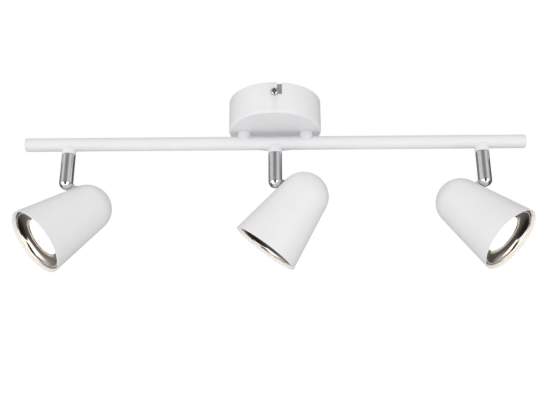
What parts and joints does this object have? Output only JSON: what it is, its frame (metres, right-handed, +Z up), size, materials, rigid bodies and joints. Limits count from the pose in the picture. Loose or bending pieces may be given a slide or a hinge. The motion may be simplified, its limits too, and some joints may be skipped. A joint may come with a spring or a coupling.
{
  "type": "ceiling spotlight bar",
  "caption": "Ceiling bar light: a round canopy carries a straight tube from which conical spot shades hang on chrome swivels that pan and tilt.",
  "frame": {"origin": "centre of the ceiling bracket's fixing slots, on the ceiling plane above the canopy's centre", "axes": "+X along the bar, +Z up into the ceiling, -Y towards the side that faces the room in front"},
  "size_m": [0.4497, 0.087, 0.1556],
  "materials": {
    "white_paint": "satin white powder coat",
    "chrome_plate": "bright chrome plate",
    "nickel_plate": "polished nickel plate",
    "nickel_screw": "nickel-plated screw",
    "zinc_steel": "zinc-plated sheet steel",
    "reflector_metal": "bright metallised dish",
    "lit_diffuser": "opal plastic lit from behind",
    "board_aluminium": "white solder mask on aluminium",
    "sink_aluminium": "extruded, as machined",
    "lead_sheath": "soft insulation",
    "washer_nylon": "natural nylon",
    "terminal_plastic": "moulded",
    "driver_plastic": "moulded",
    "brass_screw": "turned brass",
    "black_rubber": "moulded"
  },
  "bodies": {
    "root": {"canopy_cover": "white_paint", "ceiling_bracket": "zinc_steel", "cover_screws": "nickel_screw", "cable_grommet": "black_rubber", "terminal_block": "terminal_plastic", "terminal_screws": "brass_screw", "earth_screw": "brass_screw", "led_driver": "driver_plastic", "post_left": "white_paint", "post_right": "white_paint", "post_nuts": "zinc_steel", "bar_tube": "white_paint", "end_cap_left": "white_paint", "end_cap_right": "white_paint", "bar_leads": "lead_sheath", "collar_left": "white_paint", "collar_middle": "white_paint", "collar_right": "white_paint"},
    "swivel_left": {"swivel_nipple_left": "zinc_steel", "swivel_nut_left": "zinc_steel", "friction_washer_left": "washer_nylon", "stem_left": "chrome_plate", "stem_lead_left": "lead_sheath", "pivot_pin_left": "chrome_plate"},
    "head_left": {"tilt_plate_left": "nickel_plate", "shade_left": "white_paint", "reflector_left": "reflector_metal", "diffuser_left": "lit_diffuser", "led_board_left": "board_aluminium", "heat_sink_left": "sink_aluminium", "head_lead_left": "lead_sheath"},
    "swivel_middle": {"swivel_nipple_middle": "zinc_steel", "swivel_nut_middle": "zinc_steel", "friction_washer_middle": "washer_nylon", "stem_middle": "chrome_plate", "stem_lead_middle": "lead_sheath", "pivot_pin_middle": "chrome_plate"},
    "head_middle": {"tilt_plate_middle": "nickel_plate", "shade_middle": "white_paint", "reflector_middle": "reflector_metal", "diffuser_middle": "lit_diffuser", "led_board_middle": "board_aluminium", "heat_sink_middle": "sink_aluminium", "head_lead_middle": "lead_sheath"},
    "swivel_right": {"swivel_nipple_right": "zinc_steel", "swivel_nut_right": "zinc_steel", "friction_washer_right": "washer_nylon", "stem_right": "chrome_plate", "stem_lead_right": "lead_sheath", "pivot_pin_right": "chrome_plate"},
    "head_right": {"tilt_plate_right": "nickel_plate", "shade_right": "white_paint", "reflector_right": "reflector_metal", "diffuser_right": "lit_diffuser", "led_board_right": "board_aluminium", "heat_sink_right": "sink_aluminium", "head_lead_right": "lead_sheath"}
  },
  "joints": [
    {"name": "pan_left", "type": "hinge", "parent": "root", "child": "swivel_left", "pos_m": [-0.184, 0, -0.076], "axis": [0, 0, 1], "range_deg": [-116.4, 233.6]},
    {"name": "tilt_left", "type": "hinge", "parent": "swivel_left", "child": "head_left", "pos_m": [-0.184, 0, -0.076], "axis": [0.521, -0.8536, 0], "range_deg": [-61.4, 48.6]},
    {"name": "pan_middle", "type": "hinge", "parent": "root", "child": "swivel_middle", "pos_m": [0, 0, -0.076], "axis": [0, 0, 1], "range_deg": [-75.6, 274.4]},
    {"name": "tilt_middle", "type": "hinge", "parent": "swivel_middle", "child": "head_middle", "pos_m": [0, 0, -0.076], "axis": [-0.1633, -0.9866, 0], "range_deg": [-72.8, 37.2]},
    {"name": "pan_right", "type": "hinge", "parent": "root", "child": "swivel_right", "pos_m": [0.184, 0, -0.076], "axis": [0, 0, 1], "range_deg": [-235.2, 114.8]},
    {"name": "tilt_right", "type": "hinge", "parent": "swivel_right", "child": "head_right", "pos_m": [0.184, 0, -0.076], "axis": [0.497, 0.8678, 0], "range_deg": [-65.8, 44.2]}
  ]
}
